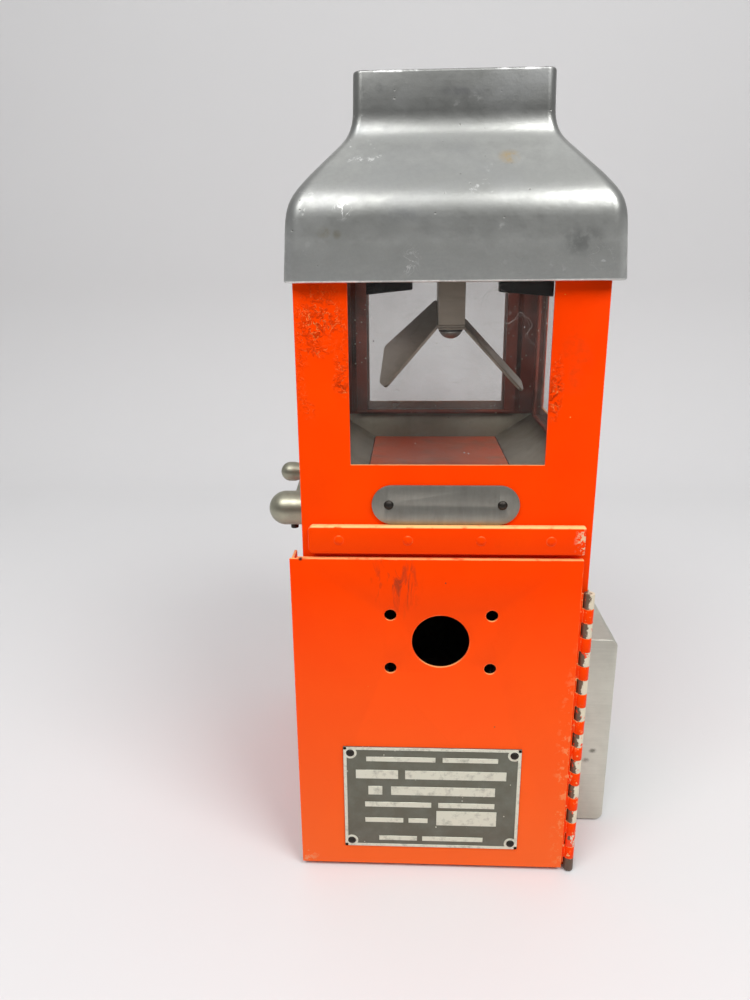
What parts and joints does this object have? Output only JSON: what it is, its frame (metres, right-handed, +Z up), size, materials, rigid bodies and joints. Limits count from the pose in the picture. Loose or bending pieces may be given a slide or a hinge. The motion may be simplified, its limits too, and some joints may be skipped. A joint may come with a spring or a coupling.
{
  "type": "bus fare box",
  "caption": "Glazed sheet-steel fare box with cast hood, coin baffle, lever-dumped inspection plate, hinged front door and cash box inside.",
  "frame": {"origin": "centre of the base plate's underside, on the surface the box stands on", "axes": "+Z up, -Y towards the door, +X towards the hinge and side cover, lever on -X"},
  "size_m": [0.2296, 0.2302, 0.481],
  "materials": {
    "orange_enamel": "semi-gloss",
    "plate_enamel": "worn satin",
    "corner_paint": "satin",
    "window_glass": "clear, dusty",
    "channel_steel": "satin",
    "wedge_rubber": "matte",
    "cast_aluminium": "sanded casting",
    "throat_aluminium": "satin",
    "cover_aluminium": "satin",
    "screw_steel": "satin",
    "baffle_steel": "satin",
    "dark_steel": "dull",
    "funnel_metal": "dull",
    "mechanism_steel": "satin",
    "bush_bronze": "satin",
    "lever_nickel": "satin nickel",
    "blanking_steel": "satin",
    "hinge_metal": "worn",
    "plate_etched": "etched",
    "cash_box_paint": "satin",
    "handle_wire": "bright"
  },
  "bodies": {
    "root": {"base_plate": "orange_enamel", "front_panel": "orange_enamel", "back_panel": "orange_enamel", "left_panel": "orange_enamel", "right_panel": "orange_enamel", "lower_corner_posts": "orange_enamel", "case_rivets": "orange_enamel", "strip_bar": "orange_enamel", "strip_screws": "orange_enamel", "hinge_rivets": "orange_enamel", "upper_corner_posts": "corner_paint", "glass_channels": "corner_paint", "front_glass": "window_glass", "back_glass": "window_glass", "left_glass": "window_glass", "right_glass": "window_glass", "funnel_rails": "channel_steel", "stop_pin": "channel_steel", "spring_post": "channel_steel", "cash_box_guides": "channel_steel", "lock_keeper": "channel_steel", "glass_wedges": "wedge_rubber", "hood": "cast_aluminium", "throat_plate": "throat_aluminium", "side_cover": "cover_aluminium", "hood_screws": "screw_steel", "throat_screws": "screw_steel", "side_cover_screws": "screw_steel", "baffle_screw": "screw_steel", "baffle_hanger": "baffle_steel", "baffle_left_wing": "baffle_steel", "baffle_right_wing": "baffle_steel", "baffle_lock_washer": "dark_steel", "blanking_rivets": "dark_steel", "coin_funnel": "funnel_metal", "return_spring": "mechanism_steel", "hinge_pin": "mechanism_steel", "left_bush": "bush_bronze", "right_bush": "bush_bronze", "blanking_plate": "blanking_steel", "case_hinge_leaf": "hinge_metal", "cash_box": "cash_box_paint", "cash_box_lid": "cash_box_paint"},
    "door": {"door_pan": "orange_enamel", "door_hinge_leaf": "hinge_metal", "nameplate": "plate_etched", "nameplate_screws": "dark_steel"},
    "dump": {"dump_lever": "lever_nickel", "lever_set_screw": "dark_steel", "dump_shaft": "mechanism_steel", "inspection_plate": "plate_enamel", "plate_lugs": "mechanism_steel", "shaft_collar": "mechanism_steel"},
    "cash_box_handle": {"cash_box_handle": "handle_wire"}
  },
  "joints": [
    {"name": "door_hinge", "type": "hinge", "parent": "root", "child": "door", "pos_m": [0.0843, -0.1115, 0], "axis": [0, 0, 1], "range_deg": [0, 200]},
    {"name": "dump_hinge", "type": "hinge", "parent": "root", "child": "dump", "pos_m": [0, -0.058, 0.233], "axis": [-1, 0, 0], "range_deg": [0, 40], "stiffness_Nm_per_rad": 0.6, "springref_deg": -45.84, "deforming": ["return_spring"]},
    {"name": "handle_hinge", "type": "hinge", "parent": "root", "child": "cash_box_handle", "pos_m": [0, -0.05, 0.11], "axis": [-1, 0, 0], "range_deg": [0, 90]}
  ]
}
